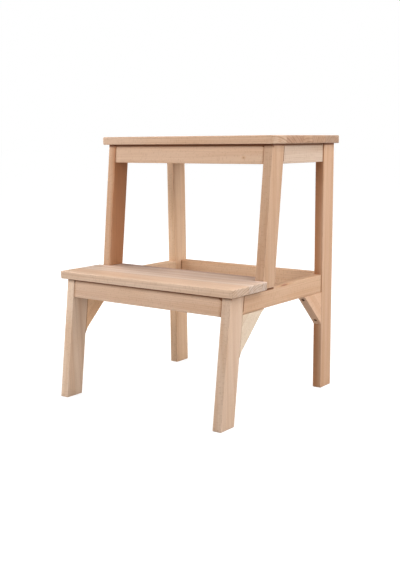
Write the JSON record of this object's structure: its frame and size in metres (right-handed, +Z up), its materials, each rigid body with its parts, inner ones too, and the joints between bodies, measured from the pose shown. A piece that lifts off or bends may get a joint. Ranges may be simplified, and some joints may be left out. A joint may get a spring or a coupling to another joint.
{
  "type": "step stool",
  "caption": "Two-step wooden step stool: rigid beech frame with a lower front step, a top step with a hand slot, and braced corners.",
  "frame": {"origin": "on the floor, at the centre of the stool's width and of its overall depth", "axes": "+X to the user's right when facing the steps, +Y away from the user towards the rear legs, +Z up"},
  "size_m": [0.412, 0.39, 0.5],
  "materials": {
    "beech_board": "fine-sanded beech with a clear matt coat, glued staves",
    "beech_leg": "fine-sanded beech with a clear matt coat, grain along the leg",
    "beech_rail": "fine-sanded beech with a clear matt coat, grain along the rail",
    "beech_gusset": "fine-sanded pale beech, grain along the long edge",
    "dowel_wood": "plain fluted hardwood dowel",
    "screw_metal": "yellow zinc plated"
  },
  "bodies": {
    "root": {"top_tread": "beech_board", "lower_tread": "beech_board", "rear_leg_left": "beech_leg", "rear_leg_right": "beech_leg", "upper_front_leg_left": "beech_leg", "upper_front_leg_right": "beech_leg", "lower_front_leg_left": "beech_leg", "lower_front_leg_right": "beech_leg", "upper_front_apron": "beech_rail", "upper_rear_apron": "beech_rail", "upper_side_rail_left": "beech_rail", "upper_side_rail_right": "beech_rail", "lower_front_apron": "beech_rail", "lower_rear_rail": "beech_rail", "lower_side_rail_left": "beech_rail", "lower_side_rail_right": "beech_rail", "front_gusset_left": "beech_gusset", "front_gusset_right": "beech_gusset", "rear_gusset_left": "beech_gusset", "rear_gusset_right": "beech_gusset", "upper_frame_dowels": "dowel_wood", "lower_frame_dowels": "dowel_wood", "upper_leg_foot_dowels": "dowel_wood", "top_tread_dowels": "dowel_wood", "lower_tread_dowels": "dowel_wood", "gusset_screws": "screw_metal"}
  },
  "joints": []
}
